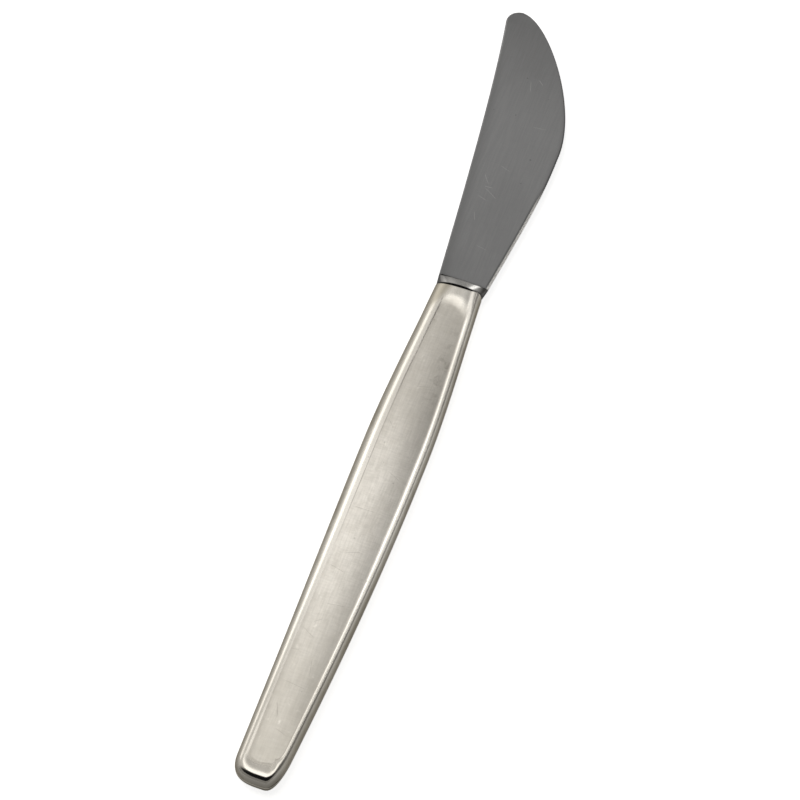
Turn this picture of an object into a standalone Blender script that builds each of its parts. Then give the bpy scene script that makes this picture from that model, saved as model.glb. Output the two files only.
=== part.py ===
"""Table knife with a hollow silver handle.

Two stamped silver shells are soldered along their edges and filled with cement, which holds the tang of
a one-piece steel blade. The knife lies flat: +X runs to the tip, +Y to the spine, +Z up. The origin is
below the middle of its box, on the surface that it lies on. Sizes are in metres and angles in degrees.
"""

import math

import bmesh
import bpy
import numpy as np
from mathutils import Vector
from mathutils.geometry import interpolate_bezier

# Handle outline, seen from above
HANDLE_LENGTH = 0.137
BUTT_WIDTH = 0.01106
BELLY_WIDTH = 0.0158
BELLY_FROM_BUTT = 0.091
MOUTH_WIDTH = 0.0114
BUTT_FLARE = 0.085  # gain of width per length at the butt
MOUTH_TAPER = 0.10  # loss of width per length at the mouth
BOW = 0.00077  # how far the middle line sags towards the cutting side
BOW_SKEW = 1.27  # 1 puts the deepest point halfway, more puts it nearer the butt
BUTT_SHIFT = 0.0005  # how far the butt sits towards the spine side
NOSE_SHIFT = 0.00245  # how far the end's foremost point lies from there towards the cutting side
SPINE_SIDE_BUTT_ROUND = 0.00686  # length of the rounded end
CUTTING_SIDE_BUTT_ROUND = 0.0090
SPINE_SIDE_BUTT_FULLNESS = 3.19  # 2 is an ellipse, more is squarer
CUTTING_SIDE_BUTT_FULLNESS = 2.435
BUTT_AIM = 0.010  # round the butt the rim runs inwards to a point this far from the foremost one

# Handle section: side wall, rolled rim, bevel on the spine side, flat crest, step down to the panel
HANDLE_THICKNESS = 0.0056
SIDE_FLAT = 0.0005  # half the height of the upright side wall
CUTTING_SIDE_ROLL = 0.0011  # width of the rim's outer curve
SPINE_SIDE_ROLL_BUTT = 0.0012
SPINE_SIDE_ROLL_BELLY = 0.0017
SPINE_SIDE_ROLL_MOUTH = 0.0015
BEVEL_BUTT = 0.00075  # width of the bevel between the spine side's roll and the crest
BEVEL_BELLY = 0.0015
BEVEL_MOUTH = 0.0010
BEVEL_ANGLE = 18.0
BUTT_ROLL = 0.0019
COLLAR_ROLL = 0.0040  # the collar at the mouth is nearly oval
COLLAR_ONSET = 3  # more keeps the rim narrow until closer to the collar
CREST_FLAT = 0.00025
CUTTING_SIDE_STEP = 0.0007
SPINE_SIDE_STEP = 0.00035
BUTT_SLOPE = 0.0020  # the step is a longer slope at the butt
PANEL_DEPTH = 0.0004
PANEL_CROWN = 0.00012
COLLAR_LENGTH = 0.0022
SCOOP_LENGTH = 0.0047  # the panel rises to the collar over this length
SHELL_WALL = 0.0005
LEAST_ROLL = 0.00015

# Seam and filling
SOLDER_THICKNESS = 0.0002
SOLDER_FIT = 0.00005  # gap to each shell
FILLING_FIT = 0.00015  # gap to the shells
FILLING_SETBACK = 0.0010  # from the mouth

# Blade, bolster and tang
MOUTH_GAP = 0.0003
BOLSTER_LENGTH = 0.0028
BLADE_LENGTH = 0.0797
SPINE_AT_SHOULDER = 0.0060
HEEL_AT_SHOULDER = 0.0063
TIP_RISE = 0.0151
BELLY_DROP = 0.0098
BELLY_FROM_SHOULDER = 0.0421
SPINE_START_ANGLE = 5.4
SPINE_TIP_ANGLE = 10.6
HEEL_ANGLE = 7.1
TIP_RADIUS = 0.0032
SPINE_REACH = 0.0204  # reaches of the outline's curves from their ends
HEEL_REACH = 0.0280
BELLY_HEEL_REACH = 0.0104
BELLY_TIP_REACH = 0.0148
TIP_REACH = 0.0069
SPINE_THICKNESS = 0.0022
TIP_THICKNESS = 0.0011
FACET_THICKNESS = 0.0007
FACET_WIDTH = 0.0008
EDGE_THICKNESS = 0.0002
TANG_LENGTH = 0.055
TANG_WIDTH = 0.0060
TANG_END_WIDTH = 0.0045
TANG_THICKNESS = 0.0015
TANG_FIT = 0.0002  # gap in the filling's slot

# Fineness of the meshes
COLLAR_STATIONS = 9
SIDE_STATIONS = 15
BUTT_STATIONS = 12
ROLL_STEPS = 5
STEP_STEPS = 3
PANEL_STEPS = 4
BLADE_STATIONS = 26
BOLSTER_STATIONS = 4
BLADE_ACROSS = 11
CURVE_POINTS = 60
ARC_POINTS = 16

SPINE_SIDE = 1
CUTTING_SIDE = -1
NOSE = BUTT_SHIFT - NOSE_SHIFT
SHOULDER = HANDLE_LENGTH + MOUTH_GAP + BOLSTER_LENGTH
TIP = SHOULDER + BLADE_LENGTH
MERGE_DISTANCE = 1e-7
SHARP_ANGLE = math.radians(35)


def smooth(share):
    share = min(max(share, 0), 1)
    return share * share * (3 - 2 * share)


def mix(start, end, share):
    return start + (end - start) * share


def curve_between(x, start, end):
    """Height at x of the cubic between two ends, each given as (x, height, slope)."""
    span = end[0] - start[0]
    t = (x - start[0]) / span
    rest = 1 - t
    ends = start[1] * (1 + 2 * t) * rest * rest + end[1] * (1 + 2 * rest) * t * t
    slopes = start[2] * t * rest * rest - end[2] * rest * t * t
    return ends + slopes * span


def along_handle(x, butt, belly, mouth, butt_slope=0, mouth_slope=0):
    """A size that runs smoothly from the butt through its most at the belly to the mouth."""
    top = (BELLY_FROM_BUTT, belly, 0)
    if x < BELLY_FROM_BUTT:
        return curve_between(x, (0, butt, butt_slope), top)
    return curve_between(x, top, (HANDLE_LENGTH, mouth, mouth_slope))


def outline_point(x, side):
    """Point of the handle's outline on the spine side or the cutting side."""
    width = along_handle(x, BUTT_WIDTH, BELLY_WIDTH, MOUTH_WIDTH, BUTT_FLARE, -MOUTH_TAPER)
    if side == SPINE_SIDE:
        butt_round, fullness = SPINE_SIDE_BUTT_ROUND, SPINE_SIDE_BUTT_FULLNESS
    else:
        butt_round, fullness = CUTTING_SIDE_BUTT_ROUND, CUTTING_SIDE_BUTT_FULLNESS
    into_butt = max(0, 1 - x / butt_round)
    rounding = (1 - into_butt**fullness) ** (1 / fullness)
    to_mouth = 1 - x / HANDLE_LENGTH
    middle = BUTT_SHIFT * to_mouth**2 - BOW * math.sin(math.pi * to_mouth**BOW_SKEW)
    return Vector((x, mix(NOSE, middle + side * width / 2, rounding), 0))


def station_places(mouth):
    """Places along the handle from the mouth to the butt, closer together where the shape turns."""
    scoop_start = HANDLE_LENGTH - COLLAR_LENGTH - SCOOP_LENGTH
    places = list(np.linspace(mouth, scoop_start, COLLAR_STATIONS))
    butt_start = max(SPINE_SIDE_BUTT_ROUND, CUTTING_SIDE_BUTT_ROUND)
    places += list(np.linspace(scoop_start, butt_start, SIDE_STATIONS + 1)[1:])
    for k in range(1, BUTT_STATIONS + 1):
        angle = math.pi / 2 * k / BUTT_STATIONS
        places.append(butt_start * (1 - math.sin(angle) ** (2 / CUTTING_SIDE_BUTT_FULLNESS)))
    return places


def outline_stations(side, mouth=HANDLE_LENGTH):
    """Outline points of one side with their inward directions, from the mouth to the end of the butt."""
    points = [outline_point(x, side) for x in station_places(mouth)]
    aim = Vector((BUTT_AIM, NOSE, 0))
    stations = []
    for i, point in enumerate(points):
        run = points[min(i + 1, len(points) - 1)] - points[max(i - 1, 0)]
        inward = Vector((-side * run.y, side * run.x, 0)).normalized()
        to_aim = (aim - point).normalized()
        stations.append((point, inward.lerp(to_aim, smooth(1 - point.x / BUTT_AIM)).normalized()))
    return stations


def rim_rings(x, side, inward, depth, floor):
    """Inset and height of each ring of the rim, from the seam over the crest to the panel.

    The surface lies at the given depth inside the handle's outer skin.
    """
    scoop_end = HANDLE_LENGTH - COLLAR_LENGTH
    collar = smooth((x - scoop_end + SCOOP_LENGTH) / SCOOP_LENGTH)
    butt = inward.x * inward.x
    into_collar = collar**COLLAR_ONSET
    if side == SPINE_SIDE:
        roll = along_handle(x, SPINE_SIDE_ROLL_BUTT, SPINE_SIDE_ROLL_BELLY, SPINE_SIDE_ROLL_MOUTH)
        step = SPINE_SIDE_STEP
        bevelled = (1 - butt) * (1 - into_collar)
    else:
        roll = CUTTING_SIDE_ROLL
        step = CUTTING_SIDE_STEP
        bevelled = 0
    roll = mix(mix(roll, BUTT_ROLL, butt), COLLAR_ROLL, into_collar)
    roll = max(roll - depth, LEAST_ROLL)
    bevel = bevelled * along_handle(x, BEVEL_BUTT, BEVEL_BELLY, BEVEL_MOUTH)
    slope = bevelled * math.tan(math.radians(BEVEL_ANGLE))
    step = mix(step, BUTT_SLOPE, butt)
    drop = PANEL_DEPTH * (1 - collar)
    crest = HANDLE_THICKNESS / 2 - depth
    roll_top = crest - bevel * slope
    corner = roll_top - roll * slope  # the roll starts upright and heads for this height
    rings = [(depth, floor)]
    for k in range(ROLL_STEPS + 1):
        share = k / ROLL_STEPS
        height = mix(mix(SIDE_FLAT, corner, share), mix(corner, roll_top, share), share)
        rings.append((depth + roll * share * share, height))
    crest_start = depth + roll + bevel
    rings.append((crest_start, crest))
    for k in range(STEP_STEPS + 1):
        share = k / STEP_STEPS
        rings.append((crest_start + CREST_FLAT + step * share, crest - drop * smooth(share)))
    return rings


def skin_rows(depth, floor, mouth=HANDLE_LENGTH):
    """Rows of points over half of the handle, each from the spine side across to the cutting side."""
    rows = []
    sides = zip(outline_stations(SPINE_SIDE, mouth), outline_stations(CUTTING_SIDE, mouth))
    for (spine, spine_inward), (cutting, cutting_inward) in sides:
        near = rim_rings(spine.x, SPINE_SIDE, spine_inward, depth, floor)
        far = rim_rings(cutting.x, CUTTING_SIDE, cutting_inward, depth, floor)
        row = [spine + spine_inward * inset + Vector((0, 0, height)) for inset, height in near]
        other = [cutting + cutting_inward * inset + Vector((0, 0, height)) for inset, height in far]
        sunk = (HANDLE_THICKNESS / 2 - depth - near[-1][1]) / PANEL_DEPTH
        start, end = row[-1], other[-1]
        for k in range(1, PANEL_STEPS):
            share = k / PANEL_STEPS
            crown = PANEL_CROWN * sunk * 4 * share * (1 - share)
            row.append(start.lerp(end, share) + Vector((0, 0, crown)))
        rows.append(row + other[::-1])
    return rows


def grid_faces(rows, columns, first=0):
    """Four-sided faces over a grid of points that are numbered row by row."""
    faces = []
    for i in range(rows - 1):
        for j in range(columns - 1):
            corner = first + i * columns + j
            faces.append((corner, corner + 1, corner + columns + 1, corner + columns))
    return faces


def material(name, colour, metallic, roughness):
    made = bpy.data.materials.new(name)
    made.use_nodes = True
    shader = made.node_tree.nodes["Principled BSDF"]
    shader.inputs["Base Color"].default_value = (*colour, 1)
    shader.inputs["Metallic"].default_value = metallic
    shader.inputs["Roughness"].default_value = roughness
    made.diffuse_color = (*colour, 1)
    return made


def add_piece(name, points, faces, finish, parent):
    """Closed mesh object: points that coincide are merged and the faces turned outwards."""
    mesh = bpy.data.meshes.new(name)
    mesh.from_pydata([tuple(point) for point in points], [], faces)
    shape = bmesh.new()
    shape.from_mesh(mesh)
    bmesh.ops.remove_doubles(shape, verts=shape.verts, dist=MERGE_DISTANCE)
    bmesh.ops.recalc_face_normals(shape, faces=shape.faces)
    shape.to_mesh(mesh)
    shape.free()
    mesh.shade_smooth()
    mesh.set_sharp_from_angle(angle=SHARP_ANGLE)
    mesh.materials.append(finish)
    piece = bpy.data.objects.new(name, mesh)
    piece.parent = parent
    bpy.context.scene.collection.objects.link(piece)
    return piece


def handle_half(name, face, finish, parent):
    """One stamped shell: face is 1 for the front, -1 for the rear."""
    floor = SOLDER_THICKNESS / 2 + SOLDER_FIT
    outer = skin_rows(0, floor)
    inner = skin_rows(SHELL_WALL, floor)
    count, across = len(outer), len(outer[0])
    points = [point for row in outer + inner for point in row]
    points = [Vector((point.x, point.y, face * point.z)) for point in points]
    inside = count * across
    faces = grid_faces(count, across) + grid_faces(count, across, inside)
    for i in range(count - 1):
        for seam in (i * across, i * across + across - 1):
            faces.append((seam, seam + across, inside + seam + across, inside + seam))
    for j in range(across - 1):
        faces.append((j, j + 1, inside + j + 1, inside + j))
    return add_piece(name, points, faces, finish, parent)


def solder_seam(finish, parent):
    """Thin strip that follows the shells' edges from the mouth round the butt and back."""
    spine = outline_stations(SPINE_SIDE)
    cutting = outline_stations(CUTTING_SIDE)
    half = SOLDER_THICKNESS / 2
    corners = ((0, half), (0, -half), (SHELL_WALL, -half), (SHELL_WALL, half), (0, half))
    path = spine + cutting[-2::-1]
    points = []
    for point, inward in path:
        points += [point + inward * inset + Vector((0, 0, height)) for inset, height in corners]
    columns = len(corners)
    end = (len(path) - 1) * columns
    caps = [tuple(range(columns - 1)), tuple(range(end, end + columns - 1))]
    return add_piece("solder_seam", points, grid_faces(len(path), columns) + caps, finish, parent)


def loft(rings, capped):
    """Points and faces of a solid through rings with as many points each.

    capped numbers the end ring that is closed flat. The ring at the other end folds up and needs no cap.
    """
    columns = len(rings[0])
    points = []
    for ring in rings:
        points += list(ring) + [ring[0]]
    faces = grid_faces(len(rings), columns + 1)
    first = capped * (columns + 1)
    for j in range(columns // 2 - 1):
        back = first + columns - 1 - j
        faces.append((first + j, first + j + 1, back - 1, back))
    return points, faces


def with_rear(front):
    """Closed ring: a line over the front, then its mirror image over the rear, back to the start."""
    return front + [Vector((point.x, point.y, -point.z)) for point in reversed(front)]


def flat_ring(x, half_width, half_height, across):
    """Upright rectangle across the knife, from the spine side round and back."""
    places = np.linspace(half_width, -half_width, across)
    return with_rear([Vector((x, y, half_height)) for y in places])


def handle_filling(finish, parent):
    """Cement core: the shells' inside with a blind slot for the tang, open at the mouth."""
    mouth = HANDLE_LENGTH - FILLING_SETBACK
    front = skin_rows(SHELL_WALL + FILLING_FIT, FILLING_FIT, mouth)
    rings = [with_rear(row) for row in reversed(front)]
    across = len(front[0])
    slot_end = HANDLE_LENGTH + MOUTH_GAP - TANG_LENGTH - TANG_FIT
    half_height = TANG_THICKNESS / 2 + TANG_FIT
    for x in (mouth, slot_end):
        share = (HANDLE_LENGTH + MOUTH_GAP - x) / TANG_LENGTH
        half_width = mix(TANG_WIDTH, TANG_END_WIDTH, share) / 2 + TANG_FIT
        rings.append(flat_ring(x, half_width, half_height, across))
    points, faces = loft(rings, capped=len(rings) - 1)
    return add_piece("handle_filling", points, faces, finish, parent)


def curve_points(start, start_handle, end_handle, end):
    return interpolate_bezier(start, start_handle, end_handle, end, CURVE_POINTS)


def heading(angle):
    angle = math.radians(angle)
    return Vector((math.cos(angle), math.sin(angle), 0))


def spine_line():
    """Back of the blade from the shoulder up to the tip and round it to its foremost point."""
    centre = Vector((TIP - TIP_RADIUS, TIP_RISE - TIP_RADIUS, 0))
    start = Vector((SHOULDER, SPINE_AT_SHOULDER, 0))
    turn = 90 + SPINE_TIP_ANGLE
    arc = [centre + TIP_RADIUS * heading(turn * (1 - k / ARC_POINTS)) for k in range(ARC_POINTS + 1)]
    reach_start = start + SPINE_REACH * heading(SPINE_START_ANGLE)
    reach_end = arc[0] - SPINE_REACH * heading(SPINE_TIP_ANGLE)
    return curve_points(start, reach_start, reach_end, arc[0])[:-1] + arc


def cutting_line():
    """Cutting edge from the heel along the belly and up to the blade's foremost point."""
    heel = Vector((SHOULDER, -HEEL_AT_SHOULDER, 0))
    belly = Vector((SHOULDER + BELLY_FROM_SHOULDER, -BELLY_DROP, 0))
    tip = Vector((TIP, TIP_RISE - TIP_RADIUS, 0))
    along = Vector((1, 0, 0))
    heel_end = heel + HEEL_REACH * heading(-HEEL_ANGLE)
    to_belly = curve_points(heel, heel_end, belly - BELLY_HEEL_REACH * along, belly)
    to_tip = curve_points(belly, belly + BELLY_TIP_REACH * along, tip - Vector((0, TIP_REACH, 0)), tip)
    return to_belly[:-1] + to_tip


def spaced(line, shares):
    """Points of a line at the given shares of its length."""
    points = np.array([tuple(point) for point in line])
    run = np.concatenate([[0], np.cumsum(np.linalg.norm(np.diff(points, axis=0), axis=1))])
    at = np.array(shares) * run[-1]
    return [Vector(place) for place in zip(*(np.interp(at, run, axis) for axis in points.T))]


def blade_ring(spine, edge, share):
    """Section of the blade between its back and its edge: a slim wedge that ends in the edge's facet."""
    width = (edge - spine).length
    facet = min(FACET_WIDTH, width / 2)
    facet_at = 1 - facet / width if width > MERGE_DISTANCE else 1
    back = mix(SPINE_THICKNESS, TIP_THICKNESS, share) / 2
    front = []
    for j in range(BLADE_ACROSS - 1):
        part = j / (BLADE_ACROSS - 2)
        height = mix(back, FACET_THICKNESS / 2, part) if width > MERGE_DISTANCE else EDGE_THICKNESS / 2
        front.append(spine.lerp(edge, part * facet_at) + Vector((0, 0, height)))
    front.append(edge + Vector((0, 0, EDGE_THICKNESS / 2)))
    return with_rear(front)


def mouth_ring():
    """The handle's outer section at the mouth, moved out by the gap: the face of the bolster."""
    row = skin_rows(0, 0)[0][1:-1]
    places = np.array([point.y for point in row[::-1]])
    heights = np.array([point.z for point in row[::-1]])
    front = []
    for j in range(BLADE_ACROSS):
        share = (1 + math.cos(math.pi * j / (BLADE_ACROSS - 1))) / 2
        y = mix(places[0], places[-1], share)
        front.append(Vector((HANDLE_LENGTH + MOUTH_GAP, y, np.interp(y, places, heights))))
    return with_rear(front)


def blade(finish, parent):
    """One forging: tang, bolster and blade, lofted from the tang's end to the tip."""
    face = HANDLE_LENGTH + MOUTH_GAP
    rings = [
        flat_ring(face - TANG_LENGTH, TANG_END_WIDTH / 2, TANG_THICKNESS / 2, BLADE_ACROSS),
        flat_ring(face, TANG_WIDTH / 2, TANG_THICKNESS / 2, BLADE_ACROSS),
    ]
    bolster = mouth_ring()
    shares = [math.sin(math.pi / 2 * k / BLADE_STATIONS) for k in range(BLADE_STATIONS + 1)]
    backs = spaced(spine_line(), shares)
    edges = spaced(cutting_line(), shares)
    sections = [blade_ring(*section) for section in zip(backs, edges, shares)]
    for k in range(BOLSTER_STATIONS):
        share = k / BOLSTER_STATIONS
        sunk = 1 - (1 - share) ** 2
        ring = [start.lerp(end, share) for start, end in zip(bolster, sections[0])]
        for point, start, end in zip(ring, bolster, sections[0]):
            point.z = mix(start.z, end.z, sunk)
        rings.append(ring)
    points, faces = loft(rings + sections, capped=0)
    return add_piece("blade", points, faces, finish, parent)


def build():
    for old in list(bpy.data.objects):
        bpy.data.objects.remove(old, do_unlink=True)
    silver = material("silver", (0.86, 0.83, 0.76), 1.0, 0.26)
    steel = material("steel", (0.47, 0.47, 0.47), 1.0, 0.30)
    solder = material("solder", (0.78, 0.76, 0.70), 1.0, 0.35)
    cement = material("cement", (0.30, 0.25, 0.20), 0.0, 0.85)
    knife = bpy.data.objects.new("table_knife", None)
    knife.location = (-TIP / 2, (BELLY_DROP - TIP_RISE) / 2, HANDLE_THICKNESS / 2)
    bpy.context.scene.collection.objects.link(knife)
    handle_half("front_handle_half", 1, silver, knife)
    handle_half("rear_handle_half", -1, silver, knife)
    solder_seam(solder, knife)
    handle_filling(cement, knife)
    blade(steel, knife)
    bpy.context.view_layer.update()


build()
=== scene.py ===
import math

import bmesh
import bpy
import numpy as np
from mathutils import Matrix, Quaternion, Vector


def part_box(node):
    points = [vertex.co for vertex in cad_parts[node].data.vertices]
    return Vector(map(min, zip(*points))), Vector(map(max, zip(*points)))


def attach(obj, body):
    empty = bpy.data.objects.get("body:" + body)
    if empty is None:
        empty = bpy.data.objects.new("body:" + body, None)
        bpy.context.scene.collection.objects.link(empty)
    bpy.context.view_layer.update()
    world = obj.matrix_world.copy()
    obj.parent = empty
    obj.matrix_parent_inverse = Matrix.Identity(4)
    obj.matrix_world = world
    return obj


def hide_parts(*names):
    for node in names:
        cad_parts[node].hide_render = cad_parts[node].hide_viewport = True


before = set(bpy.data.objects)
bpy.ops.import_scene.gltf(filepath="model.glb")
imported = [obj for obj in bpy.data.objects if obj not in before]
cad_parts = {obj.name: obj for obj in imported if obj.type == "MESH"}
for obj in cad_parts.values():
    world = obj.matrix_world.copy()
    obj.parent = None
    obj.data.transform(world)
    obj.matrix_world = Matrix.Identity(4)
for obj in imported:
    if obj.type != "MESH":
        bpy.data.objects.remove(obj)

scene = bpy.context.scene
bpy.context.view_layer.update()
frontLow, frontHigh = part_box("front_handle_half")
rearLow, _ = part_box("rear_handle_half")
bladeLow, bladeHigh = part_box("blade")
handleLength = frontHigh.x - frontLow.x
halfThick = (frontHigh.z - rearLow.z) / 2
tipX = bladeHigh.x - frontLow.x
print("frame loaded:", ", ".join(sorted(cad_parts)))


# small sums that several pieces share

def smooth(share):
    share = np.clip(share, 0, 1)
    return share * share * (3 - 2 * share)


def mix(start, end, share):
    return start + (end - start) * share


def heading(degrees):
    angle = math.radians(degrees)
    return np.array([math.cos(angle), math.sin(angle)])


def unit(vectors):
    return vectors / np.linalg.norm(vectors, axis=1, keepdims=True)


def bezierLine(start, startHandle, endHandle, end, count=120):
    t = np.linspace(0, 1, count)[:, None]
    return ((1 - t) ** 3 * start + 3 * t * (1 - t) ** 2 * startHandle
            + 3 * t * t * (1 - t) * endHandle + t ** 3 * end)


def sampleLine(line, shares):
    run = np.concatenate([[0], np.cumsum(np.linalg.norm(np.diff(line, axis=0), axis=1))])
    return np.stack([np.interp(shares * run[-1], run, axis) for axis in line.T], axis=-1)


# node helpers: a term is one output of a node, and a sum of terms adds the nodes that work it out

class Term:
    def __init__(self, socket):
        self.socket = socket

    def __getitem__(self, name):
        return Term(self.socket.node.outputs[name])

    def __mul__(self, other):
        return calc("MULTIPLY", self, other)

    def __add__(self, other):
        return calc("ADD", self, other)

    def __sub__(self, other):
        return calc("SUBTRACT", self, other)

    def __rsub__(self, other):
        return calc("SUBTRACT", other, self)

    def __truediv__(self, other):
        return calc("DIVIDE", self, other)


def feed(socket, value):
    if isinstance(value, Term):
        socket.id_data.links.new(value.socket, socket)
    else:
        socket.default_value = value


def feedAll(node, inputs):
    for key, value in inputs.items():
        feed(node.inputs[key], value)


def addNode(kind, inputs=None, out=0, tree=None, **settings):
    inputs = inputs or {}
    if tree is None:  # then it is the tree of what is fed in
        tree = next(value.socket.id_data for value in inputs.values() if isinstance(value, Term))
    made = tree.nodes.new(kind)
    for key, value in settings.items():
        setattr(made, key, value)
    feedAll(made, inputs)
    return Term(made.outputs[out]) if len(made.outputs) else None


def calc(operation, *values, clamp=False):
    return addNode("ShaderNodeMath", dict(enumerate(values)), operation=operation, use_clamp=clamp)


def calcVector(operation, *values, out=0):
    return addNode("ShaderNodeVectorMath", dict(enumerate(values)), out, operation=operation)


def strongest(*terms):
    total = terms[0]
    for term in terms[1:]:
        total = calc("MAXIMUM", total, term)
    return total


def parts(vector):
    return addNode("ShaderNodeSeparateXYZ", {0: vector})


def ramp(value, low, high, start=0.0, end=1.0):
    inputs = {"Value": value, "From Min": low, "From Max": high, "To Min": start, "To Max": end}
    return addNode("ShaderNodeMapRange", inputs, interpolation_type="SMOOTHSTEP")


def mixValue(share, start, end):
    return addNode("ShaderNodeMix", {0: share, 2: start, 3: end}, data_type="FLOAT")


def mixColour(share, start, end):
    return addNode("ShaderNodeMix", {0: share, 6: start, 7: end}, 2, data_type="RGBA")


socketKinds = {int: "NodeSocketInt", float: "NodeSocketFloat", tuple: "NodeSocketVector",
               bpy.types.Material: "NodeSocketMaterial"}


def newTree(name, kind, first, inputs, output):
    tree = bpy.data.node_groups.new(name, kind)
    tree.interface.new_socket(first[0], in_out="INPUT", socket_type=first[1])
    for label, value in inputs.items():
        socket = tree.interface.new_socket(label, in_out="INPUT", socket_type=socketKinds[type(value)])
        socket.default_value = value
    tree.interface.new_socket(output[0], in_out="OUTPUT", socket_type=output[1])
    return tree, addNode("NodeGroupInput", tree=tree), tree.nodes.new("NodeGroupOutput").inputs[0]


# shader groups: effects that more than one finish uses

def newEffect(name, output, **inputs):
    return newTree(name, "ShaderNodeTree", ("Vector", "NodeSocketVector"), inputs, (output, "NodeSocketFloat"))


def makeBrushedGrain():
    tree, given, result = newEffect("brushedGrain", "Grain", Along=60.0, Across=5000.0)
    scale = addNode("ShaderNodeCombineXYZ", {0: given["Along"], 1: given["Across"], 2: given["Across"]})
    stretched = calcVector("MULTIPLY", given["Vector"], scale)
    fine = addNode("ShaderNodeTexNoise", {"Vector": stretched, "Scale": 1.0, "Detail": 4.0, "Roughness": 0.6})
    feed(result, ramp(fine, 0.28, 0.72))
    return tree


def makeScratchLine():
    tree, given, result = newEffect("scratchLine", "Mark", Centre=(0.0, 0.0, 0.0), Angle=0.0, Length=0.01,
                                    Width=0.0001, Bend=0.0)
    shifted = calcVector("SUBTRACT", given["Vector"], given["Centre"])
    back = given["Angle"] * -1
    place = parts(addNode("ShaderNodeVectorRotate", {"Vector": shifted, "Angle": back}, rotation_type="Z_AXIS"))
    off = calc("ABSOLUTE", place["Y"] - given["Bend"] * (place["X"] * place["X"]))
    along = calc("ABSOLUTE", place["X"]) / given["Length"]
    # the mark is soft at its sides and runs out at both ends
    feed(result, ramp(off / given["Width"], 0.3, 1.0, 1.0, 0.0) * ramp(along, 0.3, 0.5, 1.0, 0.0))
    return tree


def makeTarnishBloom():
    tree, given, result = newEffect("tarnishBloom", "Bloom", Scale=150.0, Cover=0.4)
    cloud = addNode("ShaderNodeTexNoise", {"Vector": given["Vector"], "Scale": given["Scale"], "Detail": 5.0,
                                           "Roughness": 0.62, "Distortion": 0.4})
    low = 0.75 - given["Cover"] * 0.5  # more cover starts lower in the cloud
    feed(result, ramp(cloud, low, low + 0.16))
    return tree


def makeWearPits():
    tree, given, result = newEffect("wearPits", "Pits", Scale=700.0, Size=0.12)
    cells = addNode("ShaderNodeTexVoronoi", {"Vector": given["Vector"], "Scale": given["Scale"]})
    chance = addNode("ShaderNodeSeparateColor", {0: cells["Color"]})
    reach = given["Size"] * calc("POWER", chance, 3.0)  # large pits are rare
    feed(result, ramp(cells["Distance"] - reach, -0.02, 0.03, 1.0, 0.0))
    return tree


brushedGrain = makeBrushedGrain()
scratchLine = makeScratchLine()
tarnishBloom = makeTarnishBloom()
wearPits = makeWearPits()
print("shader groups:", ", ".join(tree.name for tree in (brushedGrain, scratchLine, tarnishBloom, wearPits)))


def useGroup(group, coords, **inputs):
    return addNode("ShaderNodeGroup", {"Vector": coords, **inputs}, node_tree=group)


def newFinish(name):
    finish = bpy.data.materials.new(name)
    finish.use_nodes = True
    tree = finish.node_tree
    return finish, tree, tree.nodes["Principled BSDF"], addNode("ShaderNodeTexCoord", out="Object", tree=tree)


def readMasks(tree, *names):
    return [addNode("ShaderNodeAttribute", out="Fac", tree=tree, attribute_name=name) for name in names]


def dress(shader, colour, roughness, relief, depth, metallic=1.0, slantTint=(1, 1, 1, 1)):
    bump = addNode("ShaderNodeBump", {"Height": relief, "Distance": depth, "Strength": 1.0})
    feedAll(shader, {"Base Color": colour, "Roughness": roughness, "Metallic": metallic, "Specular Tint": slantTint,
                     "Normal": bump})


bladeShape = {
    "length": 0.0797, "spineAtShoulder": 0.0060, "heelAtShoulder": 0.0063, "tipRise": 0.0151, "bellyDrop": 0.0098,
    "bellyFromShoulder": 0.0421, "spineStartAngle": 5.4, "spineTipAngle": 10.6, "heelAngle": 7.1, "tipRadius": 0.0032,
    "spineReach": 0.0204, "heelReach": 0.0280, "bellyHeelReach": 0.0104, "bellyTipReach": 0.0148, "tipReach": 0.0069,
    "spineThickness": 0.0022, "tipThickness": 0.0011, "tipThinning": (0.92, 0.35),  # from this share, to this share
    "backRounding": 0.00035, "roundingLimit": 0.3, "facetLimit": 0.4,  # shares of the blade's width
    "facetThickness": 0.0007, "facetWidth": 0.00064, "plainFacetWidth": 0.0003, "edgeThickness": 0.0002,
    "groundShare": 0.36, "groundFade": (0.08, 0.04),  # how far up the edge the wide ground facet runs
    "flankEase": 0.6, "facetShine": (0.05, 0.3),
    "grooveWidth": 0.00016, "grooveOffset": 0.0001, "grooveFade": (0.06, 0.1),
    "borderWidth": 0.0034, "edgeBorder": 0.4, "tipShade": 0.034, "tipShadeStrength": 0.8, "shoulderShade": 0.00022,
    "tangLength": 0.055, "tangWidth": 0.0060, "tangEndWidth": 0.0045, "tangThickness": 0.0015, "tangFold": 0.999,
    "mouthGap": 0.0003, "bolsterLip": 0.00012, "footRound": 2.1, "coveRows": 16, "coveTurn": 0.72,
    "jointDirt": 0.00022, "edgeJointDirt": 0.00060, "edgeJointFade": (0.0016, 0.0034),
    "tipSteps": 40, "stations": 240, "backSteps": 8, "faceSteps": 30, "facetSteps": 6, "edgeSteps": 2,
}
# the knife's own places run from the butt to the tip, towards the spine, and out from the middle plane
origin = np.array([frontLow.x, bladeLow.y + bladeShape["bellyDrop"], (frontHigh.z + rearLow.z) / 2])
shoulderX = tipX - bladeShape["length"]
faceX = handleLength + bladeShape["mouthGap"]


def addObject(name, data):
    made = bpy.data.objects.new(name, data)
    scene.collection.objects.link(made)
    return made


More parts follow.
